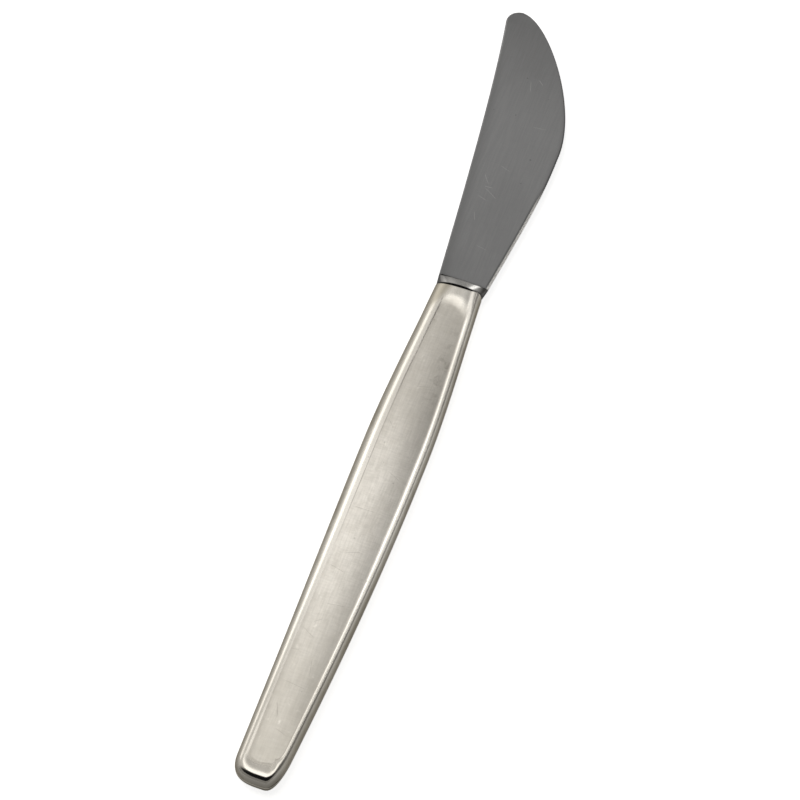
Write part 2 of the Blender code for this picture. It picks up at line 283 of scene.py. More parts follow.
def keepMesh(name, mesh, sharpAngle=30, dissolve=False):
    shape = bmesh.new()
    shape.from_mesh(mesh)
    bmesh.ops.remove_doubles(shape, verts=shape.verts, dist=1e-7)
    if dissolve:
        bmesh.ops.dissolve_degenerate(shape, edges=shape.edges, dist=1e-8)
    bmesh.ops.recalc_face_normals(shape, faces=shape.faces)
    shape.to_mesh(mesh)
    shape.free()
    mesh.shade_smooth()
    mesh.set_sharp_from_angle(angle=math.radians(sharpAngle))
    mesh.name = name
    return addObject(name, mesh)


def addPiece(name, points, faces, finish, masks, sharpAngle=30):
    mesh = bpy.data.meshes.new(name)
    mesh.from_pydata((points + origin).tolist(), [], faces)
    for label, values in masks.items():
        mesh.attributes.new(label, "FLOAT", "POINT").data.foreach_set("value", values.astype(np.float32).ravel())
    mesh.materials.append(finish)
    return keepMesh(name, mesh, sharpAngle, dissolve=True)


def gridFaces(rows, columns, first=0):
    corner = (first + np.arange(rows - 1)[:, None] * columns + np.arange(columns - 1)[None]).ravel()
    return np.stack([corner, corner + 1, corner + columns + 1, corner + columns], axis=1).tolist()


def addGuide(name, lines, height=0.0):
    curve = bpy.data.curves.new(name, "CURVE")
    curve.dimensions = "3D"
    for line in lines:
        spline = curve.splines.new("POLY")
        spline.points.add(len(line) - 1)
        places = np.column_stack([line, np.full(len(line), height)]) + origin
        spline.points.foreach_set("co", np.column_stack([places, np.ones(len(line))]).ravel())
    return addObject(name, curve)


def grow(guide, tree, values):
    modifier = guide.modifiers.new(tree.name, "NODES")
    modifier.node_group = tree
    for item in tree.interface.items_tree:
        if item.item_type == "SOCKET" and item.in_out == "INPUT" and item.name in values:
            modifier[item.identifier] = values[item.name]
    bpy.context.view_layer.update()
    grown = bpy.data.meshes.new_from_object(guide.evaluated_get(bpy.context.evaluated_depsgraph_get()))
    guide.modifiers.remove(modifier)
    bpy.data.objects.remove(guide)
    return grown


def newGrower(name, values):
    shape = ("Geometry", "NodeSocketGeometry")
    return newTree(name, "GeometryNodeTree", shape, values, shape)


def closeTree(tree, shape, given, result):
    real = addNode("GeometryNodeRealizeInstances", {"Geometry": shape})
    feed(result, addNode("GeometryNodeSetMaterial", {"Geometry": real, "Material": given["Finish"]}))
    return tree


# finishes

silverLook = {
    "rim": (0.90, 0.875, 0.82, 1), "dullRim": (0.585, 0.562, 0.515, 1), "panel": (0.92, 0.89, 0.835, 1),
    "dullPanel": (0.58, 0.555, 0.505, 1), "streak": (0.40, 0.385, 0.345, 1), "fleck": (1.0, 0.97, 0.91, 1),
    # the side walls and the butt's end wall carry a painted dark reflection, a little cloudy
    "worn": (0.54, 0.51, 0.45, 1), "patina": (0.38, 0.355, 0.30, 1), "endPatina": (0.14, 0.132, 0.112, 1),
    "tarnish": (0.22, 0.20, 0.17, 1), "slantTint": (0.6, 0.57, 0.52, 1),  # worn metal stays dull at a slant
    "rimRoughness": 0.22, "endRoughness": 0.12, "panelRoughness": 0.28, "streakRoughness": 0.18,
    "bloomRoughness": 0.03, "patinaRoughness": 0.08, "reliefDepth": 0.000010, "streakRelief": 0.5, "markRelief": 0.8,
    # how strongly each mark shows
    "grain": 0.22, "crossGrain": 0.16, "flecks": 0.32, "bloom": 0.14, "mottle": 0.18, "evenPatina": 0.75,
    "spots": 0.08, "wallSpots": 0.15, "dirt": 0.28, "line": 0.8, "stains": 0.34, "pits": 0.28, "scratches": 0.40,
    # places along the knife from the butt, and across it from the axis
    "buttDull": (0.008, 0.075), "mouthDull": (0.076, 0.108), "mouthDullness": 0.6,
    "rubbedAlong": (0.116, 0.126), "rubbedAcross": (0.0, -0.0025),
    "stainStart": (0.094, 0.114), "stainEnd": (0.130, 0.120), "stainAcross": (-0.0005, -0.0042),
}
# centre from the butt and the axis, angle, length, width in metres, bend
panelScratches = [
    (0.0250, -0.0005, 82, 0.0060, 0.00006, 2.0), (0.0385, 0.0015, 60, 0.0042, 0.00006, -9.0),
    (0.0470, -0.0020, 98, 0.0050, 0.00007, 6.0), (0.0560, 0.0010, 75, 0.0046, 0.00006, 8.0),
    (0.0610, -0.0010, 110, 0.0036, 0.00006, 12.0), (0.0725, 0.0005, 88, 0.0058, 0.00007, -7.0),
    (0.0830, -0.0030, 64, 0.0036, 0.00006, 0.0), (0.0180, 0.0012, 20, 0.0040, 0.00006, 15.0),
    (0.0130, -0.0014, 71, 0.0034, 0.00006, 0.0), (0.0335, 0.0030, 95, 0.0030, 0.00005, 10.0),
    (0.0300, -0.0022, 12, 0.0048, 0.00005, -6.0), (0.0420, 0.0004, 130, 0.0024, 0.00006, 0.0),
    (0.0960, 0.0022, 40, 0.0030, 0.00005, 14.0), (0.1080, -0.0012, 104, 0.0034, 0.00006, -5.0),
]


def scratchMarks(coords, scratches, height):
    marks = []
    for x, y, angle, length, width, bend in scratches:
        centre = tuple(np.array([x, y, height]) + origin)
        marks.append(useGroup(scratchLine, coords, Centre=centre, Angle=math.radians(angle), Length=length,
                              Width=width, Bend=bend))
    return strongest(*marks)


def fade(coords, axis, ends, start=0.0, end=1.0):
    low, high = (float(place + origin["XYZ".index(axis)]) for place in ends)
    return ramp(parts(coords)[axis], low, high, start, end)


def makeSilver():
    look = silverLook
    finish, tree, shader, coords = newFinish("handleSilver")
    panel, wall, crease, end, line = readMasks(tree, "panel", "wall", "crease", "end", "line")
    grain = useGroup(brushedGrain, coords, Along=200.0, Across=2600.0)
    crossGrain = useGroup(brushedGrain, coords, Along=2800.0, Across=420.0)
    bloom = useGroup(tarnishBloom, coords, Scale=70.0, Cover=0.55)
    mottle = useGroup(tarnishBloom, coords, Scale=430.0, Cover=0.6)
    flecks = useGroup(tarnishBloom, coords, Scale=640.0, Cover=0.32)
    speckle = useGroup(tarnishBloom, coords, Scale=900.0, Cover=0.30)
    stains = useGroup(tarnishBloom, coords, Scale=520.0, Cover=0.5)
    pits = useGroup(wearPits, coords, Scale=420.0, Size=0.10)
    scratches = scratchMarks(coords, panelScratches, halfThick) * panel
    # dull towards the butt and the mouth, but beside the collar on the cutting side the rim is kept bright as a painted
    # highlight
    dull = fade(coords, "X", look["buttDull"], 1.0, 0.0)
    dull = dull + fade(coords, "X", look["mouthDull"], 0.0, look["mouthDullness"])
    paintedRimHighlight = fade(coords, "X", look["rubbedAlong"]) * fade(coords, "Y", look["rubbedAcross"])
    colour = mixColour(dull * (1.0 - paintedRimHighlight), look["rim"], look["dullRim"])
    colour = mixColour(panel, colour, mixColour(dull, look["panel"], look["dullPanel"]))
    streaks = panel * (grain * look["grain"] + crossGrain * look["crossGrain"])
    colour = mixColour(streaks, colour, look["streak"])
    colour = mixColour(flecks * panel * look["flecks"], colour, look["fleck"])
    colour = mixColour((bloom * look["bloom"] + mottle * look["mottle"]) * panel, colour, look["worn"])
    # painted dark reflection on the side walls and the collar's spine side, darker still on the butt's end wall
    patina = wall * (bloom * (1 - look["evenPatina"]) + look["evenPatina"])
    colour = mixColour(patina, colour, mixColour(end, look["patina"], look["endPatina"]))
    # stains gather in the panel's corner near the mouth, on the cutting side
    for axis, place in (("X", "stainStart"), ("X", "stainEnd"), ("Y", "stainAcross")):
        stains = stains * fade(coords, axis, look[place])
    spots = speckle * (wall * look["wallSpots"] + look["spots"])
    marks = strongest(spots, crease * dull * look["dirt"], line * line * look["line"], stains * panel * look["stains"],
                      pits * look["pits"], scratches * look["scratches"])
    colour = mixColour(marks, colour, look["tarnish"])
    roughness = mixValue(panel, look["rimRoughness"], look["panelRoughness"]) + streaks * look["streakRoughness"]
    roughness = roughness + bloom * look["bloomRoughness"] + patina * look["patinaRoughness"]
    roughness = mixValue(end * (1.0 - strongest(panel, crease)), roughness, look["endRoughness"])
    relief = streaks * look["streakRelief"] - strongest(pits, scratches) * look["markRelief"]
    dress(shader, colour, roughness, relief, look["reliefDepth"], slantTint=look["slantTint"])
    return finish


steelLook = {
    # the border colour is painted shade along the blade's spine and edge and towards its tip
    "blade": (0.322, 0.326, 0.334, 1), "worn": (0.250, 0.254, 0.260, 1), "borderShade": (0.155, 0.156, 0.158, 1),
    # the ground colour of the facet is partly its own finish and partly a painted highlight
    # the stain colour darkens real pits and also painted shade lines
    "scratch": (0.70, 0.70, 0.70, 1), "ground": (0.95, 0.94, 0.92, 1), "stain": (0.07, 0.07, 0.07, 1),
    # the two darker bolster colours are painted shade, on its spine side and at its ends
    "bolster": (0.86, 0.855, 0.84, 1), "dullBolster": (0.32, 0.317, 0.31, 1), "bolsterCorner": (0.13, 0.128, 0.125, 1),
    "slantTint": (0.45, 0.45, 0.45, 1), "bladeRoughness": 0.30, "bolsterRoughness": 0.19, "streakRoughness": 0.08,
    "reliefDepth": 0.000006, "streakRelief": 0.35,
    # how strongly each mark shows
    "grain": 0.36, "crossGrain": 0.12, "bloom": 0.25, "borders": 0.45, "scratches": 0.4,
    "pits": 0.35, "shoulder": 0.3, "groove": 0.75, "jointDirtShadow": 0.92,
    # places across the bolster, from the axis
    "spineSide": (-0.002, 0.004), "spineCorner": (0.0026, 0.0050), "edgeCorner": (-0.0040, -0.0056),
}
bladeScratches = [
    (0.1660, 0.0020, 58, 0.0046, 0.00006, 24.0), (0.1695, 0.0042, 35, 0.0034, 0.00006, -18.0),
    (0.1740, 0.0010, 70, 0.0030, 0.00005, 10.0), (0.1585, 0.0035, 20, 0.0028, 0.00005, 16.0),
    (0.1990, 0.0030, 15, 0.0034, 0.00006, 0.0), (0.2010, 0.0010, 48, 0.0020, 0.00008, 10.0),
    (0.1880, -0.0030, 96, 0.0036, 0.00005, 0.0), (0.1505, -0.0010, 80, 0.0030, 0.00005, -16.0),
    (0.1675, 0.0030, 95, 0.0022, 0.00008, 0.0), (0.1640, 0.0034, 72, 0.0026, 0.00006, -20.0),
]


def makeSteel():
    look = steelLook
    finish, tree, shader, coords = newFinish("bladeSteel")
    bolster, facet, borderShade, shoulder, groove, jointDirtShadow = readMasks(tree, "bolster", "facet", "borderShade", "shoulder",
                                                                "groove", "jointDirtShadow")
    grain = useGroup(brushedGrain, coords, Along=130.0, Across=2400.0)
    crossGrain = useGroup(brushedGrain, coords, Along=5000.0, Across=240.0)
    bloom = useGroup(tarnishBloom, coords, Scale=60.0, Cover=0.5)
    pits = useGroup(wearPits, coords, Scale=260.0, Size=0.10)
    scratches = scratchMarks(coords, bladeScratches, 0.0)
    streaks = grain * look["grain"] + crossGrain * look["crossGrain"]
    colour = mixColour(streaks, look["blade"], look["worn"])
    colour = mixColour(bloom * look["bloom"], colour, look["worn"])
    # painted shade along the blade's spine and edge and towards its tip
    colour = mixColour(borderShade * look["borders"], colour, look["borderShade"])
    colour = mixColour(scratches * look["scratches"], colour, look["scratch"])
    # painted shade: the bolster is darker on its spine side and darkest at both ends
    foot = mixColour(fade(coords, "Y", look["spineSide"]), look["bolster"], look["dullBolster"])
    corners = strongest(fade(coords, "Y", look["spineCorner"]), fade(coords, "Y", look["edgeCorner"]))
    colour = mixColour(bolster, colour, mixColour(corners, foot, look["bolsterCorner"]))
    # the ground facet is lighter by its own finish, and brightened further as a painted highlight
    colour = mixColour(facet, colour, look["ground"])
    # pits are real marks; the shoulder line is painted shade, and the joint holds dirt with a painted shadow
    marks = strongest(pits * look["pits"], shoulder * look["shoulder"], groove * look["groove"], jointDirtShadow * look["jointDirtShadow"])
    colour = mixColour(marks, colour, look["stain"])
    roughness = mixValue(bolster, look["bladeRoughness"], look["bolsterRoughness"]) + streaks * look["streakRoughness"]
    relief = streaks * look["streakRelief"] - strongest(pits, scratches)
    dress(shader, colour, roughness, relief, look["reliefDepth"], slantTint=look["slantTint"])
    return finish


edgeLook = {"bright": (0.94, 0.93, 0.91, 1), "ground": (0.74, 0.74, 0.73, 1), "dull": (0.40, 0.40, 0.40, 1),
            "dullness": 0.4, "roughness": (0.22, 0.38), "reliefDepth": 0.000004}
solderLook = {"solder": (0.58, 0.55, 0.48, 1), "brushed": (0.48, 0.45, 0.39, 1), "tarnish": (0.30, 0.27, 0.22, 1),
              "grain": 0.4, "tarnishing": 0.5, "roughness": (0.26, 0.42), "reliefDepth": 0.000004}
cementLook = {"cement": (0.30, 0.25, 0.20, 1), "dark": (0.19, 0.15, 0.12, 1), "pit": (0.08, 0.06, 0.05, 1),
              "roughness": (0.78, 0.95), "reliefDepth": 0.00008}


def makeGroundEdge():
    look = edgeLook
    finish, _, shader, coords = newFinish("groundEdge")
    grain = useGroup(brushedGrain, coords, Along=6000.0, Across=300.0)
    bloom = useGroup(tarnishBloom, coords, Scale=300.0, Cover=0.5)
    # the teeth's bright colour is partly their ground finish and partly a painted highlight
    colour = mixColour(bloom * look["dullness"], mixColour(grain, look["bright"], look["ground"]), look["dull"])
    dress(shader, colour, mixValue(grain, *look["roughness"]), grain, look["reliefDepth"])
    return finish


def makeSolder():
    look = solderLook
    finish, _, shader, coords = newFinish("seamSolder")
    bloom = useGroup(tarnishBloom, coords, Scale=400.0, Cover=0.5)
    grain = useGroup(brushedGrain, coords, Along=200.0, Across=4000.0)
    colour = mixColour(grain * look["grain"], look["solder"], look["brushed"])
    colour = mixColour(bloom * look["tarnishing"], colour, look["tarnish"])
    dress(shader, colour, mixValue(bloom, *look["roughness"]), grain, look["reliefDepth"])
    return finish


def makeCement():
    look = cementLook
    finish, _, shader, coords = newFinish("handleCement")
    bloom = useGroup(tarnishBloom, coords, Scale=800.0, Cover=0.6)
    pits = useGroup(wearPits, coords, Scale=1500.0, Size=0.30)
    colour = mixColour(pits, mixColour(bloom, look["cement"], look["dark"]), look["pit"])
    dress(shader, colour, mixValue(bloom, *look["roughness"]), bloom - pits, look["reliefDepth"], metallic=0.0)
    return finish


silver, steel, groundEdge, solder, cement = makeSilver(), makeSteel(), makeGroundEdge(), makeSolder(), makeCement()
print("finishes:", ", ".join(finish.name for finish in (silver, steel, groundEdge, solder, cement)))


# handle: two stamped shells, each a satin panel sunk between rolled rims

handleShape = {
    "buttWidth": 0.01106, "bellyWidth": 0.0158, "bellyFromButt": 0.091, "mouthWidth": 0.0114,
    "buttFlare": 0.085, "mouthTaper": 0.10, "bow": 0.00077, "bowSkew": 1.27, "buttShift": 0.0005, "noseShift": -0.00245,
    # for the spine side 1 and the cutting side -1, those in threes at the butt, belly and mouth
    "buttRounds": {1: 0.00686, -1: 0.0090}, "buttFullness": {1: 3.19, -1: 2.435},
    "rolls": {1: (0.0022, 0.0035, 0.0030), -1: (0.0011, 0.0009, 0.0009)},
    "leans": {1: (0, 27, 20), -1: (0, 0, 0)},
    "sinks": {1: (0.00014, 0.00016, 0.00026), -1: (0.00006, 0.00008, 0.00020)},
    "drops": {1: (0.0, 0.0, 0.00010), -1: (0.00013, 0.00026, 0.00024)},
    "steps": {1: (0.0003, 0.0002, 0.0002), -1: (0.00036, 0.0009, 0.0010)},
    "crowns": (0.00014, 0.00032, 0.00001), "crownStart": 0.0045, "crownFade": 0.020, "leastPanel": 0.002,
    "buttAim": 0.010, "buttRoll": 0.0019, "buttSink": 0.00006, "buttDrop": 0.00013, "buttSlope": 0.0030,
    "sideFlat": 0.0003, "crestFlat": 0.0002, "creaseReach": 0.09, "lineStart": 0.045, "lineFade": 0.035,
    # the collar and the scoop below it, those in twos in the middle and at the sides
    "collarLengths": (0.0020, 0.0034), "scoopLengths": (0.0036, 0.0090), "collarFullness": 2.3,
    "collarFlank": 0.00010, "flankReach": 0.75, "flankStart": 0.42, "flankFade": 0.36, "collarSmoothing": 25,
    "softRim": (0.9, 0.15), "softMiddle": (0.1, 0.2), "mouthRound": 0.0085, "mouthRoll": 0.0015, "mouthSink": 0.00002,
    "shadeLength": 0.0050, "shadeFade": 0.0070, "shadeSlant": 60, "shadeAcross": (0.05, 0.4),
    "shellWall": 0.0005, "solderThickness": 0.0002, "bond": 0.000005, "mouthLip": 0.00012,
    "lipStations": 5, "collarStations": 44, "sideStations": 130, "buttStations": 44,
    "rollSteps": 24, "stepSteps": 12, "panelSteps": 30,
}
maskNames = ("wall", "panel", "crease", "end", "line")


def hermite(x, startX, endX, start, end, startSlope, endSlope):
    span = endX - startX
    t = (x - startX) / span
    rest = 1 - t
    ends = start * (1 + 2 * t) * rest * rest + end * (1 + 2 * rest) * t * t
    return ends + (startSlope * t * rest * rest - endSlope * rest * t * t) * span


def alongHandle(x, butt, belly, mouth, buttSlope=0.0, mouthSlope=0.0):
    bellyX = handleShape["bellyFromButt"]
    return np.where(x < bellyX, hermite(x, 0, bellyX, butt, belly, buttSlope, 0),
                    hermite(x, bellyX, handleLength, belly, mouth, 0, mouthSlope))


def handlePlaces():
    h = handleShape
    scoopStart = handleLength - h["collarLengths"][1] - h["scoopLengths"][1]
    lip = np.linspace(0, math.pi / 2, h["lipStations"] + 1)
    places = [handleLength - h["mouthLip"] * (1 - np.cos(lip))]
    places.append(np.linspace(handleLength - h["mouthLip"], scoopStart, h["collarStations"] + 1)[1:])
    places.append(np.linspace(scoopStart, h["buttRounds"][1], h["sideStations"] + 1)[1:])
    angle = np.linspace(0, math.pi / 2, h["buttStations"] + 1)[1:]
    places.append(h["buttRounds"][1] * (1 - np.sin(angle) ** (2 / h["buttFullness"][1])))
    depth = np.zeros(sum(len(part) for part in places))
    depth[:len(lip)] = h["mouthLip"] * (1 - np.sin(lip))  # the lip at the mouth is rounded over
    return np.concatenate(places), depth


def outlineY(x, side):
    h = handleShape
    width = alongHandle(x, h["buttWidth"], h["bellyWidth"], h["mouthWidth"], h["buttFlare"], -h["mouthTaper"])
    intoButt = np.clip(1 - x / h["buttRounds"][side], 0, 1)
    rounding = (1 - intoButt ** h["buttFullness"][side]) ** (1 / h["buttFullness"][side])
    toMouth = np.clip(1 - x / handleLength, 0, 1)
    middle = h["buttShift"] * toMouth ** 2 - h["bow"] * np.sin(np.pi * toMouth ** h["bowSkew"])
    nose = h["buttShift"] + h["noseShift"]
    return nose + (middle + side * width / 2 - nose) * rounding


def handleOutline(x, side):
    h = handleShape
    before, after = np.maximum(x - 1e-8, 0), x + 1e-8
    inward = side * np.stack([outlineY(after, side) - outlineY(before, side), before - after], axis=1)
    inward[x < 1e-9] = (1, 0)
    points = np.stack([x, outlineY(x, side)], axis=1)
    # round the butt the rim runs inwards to one point, so its rows never cross
    aim = np.array([h["buttAim"], h["buttShift"] + h["noseShift"]])
    return points, unit(mix(unit(inward), unit(aim - points), smooth(1 - x / h["buttAim"])[:, None]))


def crownAt(x):
    h = handleShape
    return alongHandle(x, *h["crowns"]) * smooth((x - h["crownStart"]) / h["crownFade"])


def rimProfile(x, side, inward, depth, floor):
    h = handleShape
    column = lambda values: values[:, None]
    butt = inward[:, 0] ** 2
    ends = {"rolls": "buttRoll", "steps": "buttSlope", "sinks": "buttSink", "drops": "buttDrop"}
    measures = [column(mix(alongHandle(x, *h[name][side]), h[end], butt)) for name, end in ends.items()]
    roll, step, sink, drop = measures
    depth = column(depth)
    roll = roll - depth
    if side < 0:
        nearMouth = column(smooth(1 - (handleLength - x) / h["mouthRound"]))
        roll, sink = mix(roll, h["mouthRoll"], nearMouth), mix(sink, h["mouthSink"], nearMouth)
    crest = halfThick - depth - sink
    lean = np.radians(column(alongHandle(x, *h["leans"][side]) * (1 - butt)))
    # the spine rim runs out at the slope of the panel's crown, the cutting rim level
    width = outlineY(x, 1) - outlineY(x, -1) - h["rolls"][1][1] - 2 * h["steps"][-1][1]
    climb = column(4 * crownAt(x) / np.maximum(width, h["leastPanel"]) * (1 - butt)) * (side > 0)
    steepness = (crest - h["sideFlat"]) / (1 - np.sin(lean)) / roll * np.cos(lean)
    s = np.linspace(0, 1, h["rollSteps"] + 1)[None]
    turned = mix(lean, math.pi / 2 - climb / steepness, s)
    t = np.linspace(0, 1, h["stepSteps"] + 1)[None]
    inwards = h["crestFlat"] + step * t
    inset = [depth, depth + roll * (1 - np.cos(turned) / np.cos(lean))]
    inset.append(inset[1][:, -1:] + inwards)
    rise = (np.sin(turned) - np.sin(lean)) / (1 - np.sin(lean))
    height = [np.full_like(depth, floor), mix(h["sideFlat"], crest, rise)]
    height.append(height[1][:, -1:] + climb * inwards - drop * smooth(t))
    # each mask over the side, the roll and the step, with a soft start
    even = np.ones_like(depth)
    wall = [even, even * (1 - smooth(s * 1.25 - 0.25)), 0 * even * t]
    panel = [0 * even, 0 * even * s, even * smooth(t * 1.4 - 0.4)]
    crease = [0 * even, 0 * even * s, even * smooth(t * 2 - 1)]
    end = [column(butt) + 0 * part for part in inset]
    # a fine dirt line lies at the foot of the spine rim, stronger towards the mouth
    dirty = column(smooth((x - h["lineStart"]) / h["lineFade"])) * (side > 0)
    line = [0 * even, 0 * even * s, dirty * (t > 0.99)]
    return [np.concatenate(zones, axis=1) for zones in (inset, height, wall, panel, crease, end, line)]


def skinRows(depth, floor, x):
    h = handleShape
    rows = []
    for side in (1, -1):
        points, inward = handleOutline(x, side)
        inset, height, *masks = rimProfile(x, side, inward, depth, floor)
        flat = points[:, None] + inward[:, None] * inset[..., None]
        rows.append((np.concatenate([flat, height[..., None]], axis=2), masks))
    (near, nearMasks), (far, farMasks) = rows
    share = np.linspace(0, 1, h["panelSteps"] + 1)[None, 1:-1]
    middle = mix(near[:, -1:], far[:, -1:], share[..., None])
    middle[..., 2] += crownAt(near[:, -1:, 0]) * 4 * share * (1 - share)
    points = np.concatenate([near, middle, far[:, ::-1]], axis=1)
    masks = {}
    for name, first, last in zip(maskNames, nearMasks, farMasks):
        inner = mix(first[:, -1:], last[:, -1:], share)
        if name == "crease":
            inner = first[:, -1:] * np.exp(-(share / h["creaseReach"]) ** 2)
        if name == "line":
            inner = 0 * inner
        masks[name] = np.concatenate([first, inner, last[:, ::-1]], axis=1)
    # the rims run out into a round collar, and the panel ends below it in an arch
    centre = (near[:, :1, 1] + far[:, :1, 1]) / 2
    offset = np.clip((points[..., 1] - centre) / np.maximum(near[:, :1, 1] - centre, 1e-6), -1, 1)
    fromMouth = handleLength - points[..., 0]
    collar = 1 - smooth((fromMouth - mix(*h["collarLengths"], offset ** 2)) / mix(*h["scoopLengths"], offset ** 2))
    dome = (1 - np.abs(offset) ** h["collarFullness"]) ** (1 / h["collarFullness"])
    top = halfThick - depth[:, None]
    dome = h["sideFlat"] + (top - h["sideFlat"]) * dome
    # on the cutting side the rim runs on up to the mouth, a little above the collar's flank
    flank = top - h["collarFlank"] * (offset / h["flankReach"]) ** 2
    dome = np.where(offset < 0, flank, dome)
    # painted shade: the collar's spine side joins the wall mask and takes its painted dark reflection
    shade = 1 - smooth((fromMouth - h["shadeLength"]) / h["shadeFade"])
    shadeStart, shadeSpan = h["shadeAcross"]
    slant = h["shadeSlant"] * np.clip(fromMouth, 0, h["shadeFade"])
    masks["wall"] = np.maximum(masks["wall"], shade * smooth((offset - shadeStart - slant) / shadeSpan))
    for name in ("panel", "crease", "line"):
        masks[name] = masks[name] * (1 - collar)
    (rimStart, rimSpan), (softStart, softSpan) = h["softRim"], h["softMiddle"]
    soft = collar * smooth((offset + rimStart) / rimSpan) * smooth((-offset - softStart) / softSpan)
    collar = collar * (1 - smooth((-offset - h["flankStart"]) / h["flankFade"]))
    aboveSide = points[..., 2] > h["sideFlat"]
    points[..., 2] = np.where(aboveSide, mix(points[..., 2], dome, collar), points[..., 2])
    # the flank is smoothed into the rim, each height towards the line between its neighbours
    gaps = np.maximum(np.abs(np.diff(points[..., 1], axis=1)), 1e-7)
    before, after = gaps[:, :-1], gaps[:, 1:]
    for _ in range(h["collarSmoothing"]):
        height = points[..., 2]
        level = (height[:, :-2] * after + height[:, 2:] * before) / (before + after)
        points[:, 1:-1, 2] = mix(height[:, 1:-1], level, 0.5 * soft[:, 1:-1])
    return points, masks


def addHandleHalf(name, face):
    h = handleShape
    x, lip = handlePlaces()
    floor = h["solderThickness"] / 2 + h["bond"]
    outer, masks = skinRows(lip, floor, x)
    inner, _ = skinRows(np.full(len(x), h["shellWall"]), floor, x)
    count, across = outer.shape[:2]
    points = np.concatenate([outer.reshape(-1, 3), inner.reshape(-1, 3)]) * (1, 1, face)
    inside = count * across
    faces = gridFaces(count, across) + gridFaces(count, across, inside)
    for i in range(count - 1):
        for seam in (i * across, i * across + across - 1):
            faces.append((seam, seam + across, inside + seam + across, inside + seam))
    for j in range(across - 1):
        faces.append((j, j + 1, inside + j + 1, inside + j))
    masks = {label: np.concatenate([mask.ravel(), np.zeros(inside)]) for label, mask in masks.items()}
    return addPiece(name, points, faces, silver, masks)


frontHalf = addHandleHalf("front_silver_half", 1)
rearHalf = addHandleHalf("rear_silver_half", -1)
print("handle halves:", len(frontHalf.data.polygons), "and", len(rearHalf.data.polygons), "faces")


# solder seam: a flat strip swept round the shells' edges

def makeSeamSweep(values):
    tree, given, result = newGrower("seamSweep", values)
    upright = addNode("GeometryNodeSetCurveNormal", {"Curve": given["Geometry"]}, mode="Z_UP")
    section = {"Width": given["Wall"], "Height": given["Thickness"]}
    strip = addNode("GeometryNodeCurvePrimitiveQuadrilateral", section)
    swept = addNode("GeometryNodeCurveToMesh", {"Curve": upright, "Profile Curve": strip, "Fill Caps": True})
    return closeTree(tree, swept, given, result)


def addSeam():
    h = handleShape
    x, _ = handlePlaces()
    sides = []
    for side in (1, -1):
        points, inward = handleOutline(x, side)
        sides.append(points + inward * h["shellWall"] / 2)
    guide = addGuide("seam_path", [np.concatenate([sides[0], sides[1][-2::-1]])])
    values = {"Wall": h["shellWall"], "Thickness": h["solderThickness"], "Finish": solder}
    return keepMesh("solder_line", grow(guide, makeSeamSweep(values), values))


seam = addSeam()
print("solder seam:", len(seam.data.polygons), "faces")


# blade: back and edge are guide lines, and the tree lofts a wedge with a ground facet between them

def bladeLines():
    b = bladeShape
    centre = np.array([tipX - b["tipRadius"], b["tipRise"] - b["tipRadius"]])
    start = np.array([shoulderX, b["spineAtShoulder"]])
    turns = np.linspace(90 + b["spineTipAngle"], 0, b["tipSteps"])
    arc = np.array([centre + b["tipRadius"] * heading(turn) for turn in turns])
    spine = bezierLine(start, start + b["spineReach"] * heading(b["spineStartAngle"]),
                       arc[0] - b["spineReach"] * heading(b["spineTipAngle"]), arc[0])
    heel = np.array([shoulderX, -b["heelAtShoulder"]])
    belly = np.array([shoulderX + b["bellyFromShoulder"], -b["bellyDrop"]])
    tip = np.array([tipX, b["tipRise"] - b["tipRadius"]])
    toBelly = bezierLine(heel, heel + b["heelReach"] * heading(-b["heelAngle"]),
                         belly - (b["bellyHeelReach"], 0), belly)
    toTip = bezierLine(belly, belly + (b["bellyTipReach"], 0), tip - (0, b["tipReach"]), tip)
    return np.concatenate([spine[:-1], arc]), np.concatenate([toBelly[:-1], toTip])


def ringShares():
    b = bladeShape
    counts = np.cumsum([b["backSteps"], b["faceSteps"], b["facetSteps"], b["edgeSteps"]])
    return counts / counts[-1], 2 * int(counts[-1]) + 1


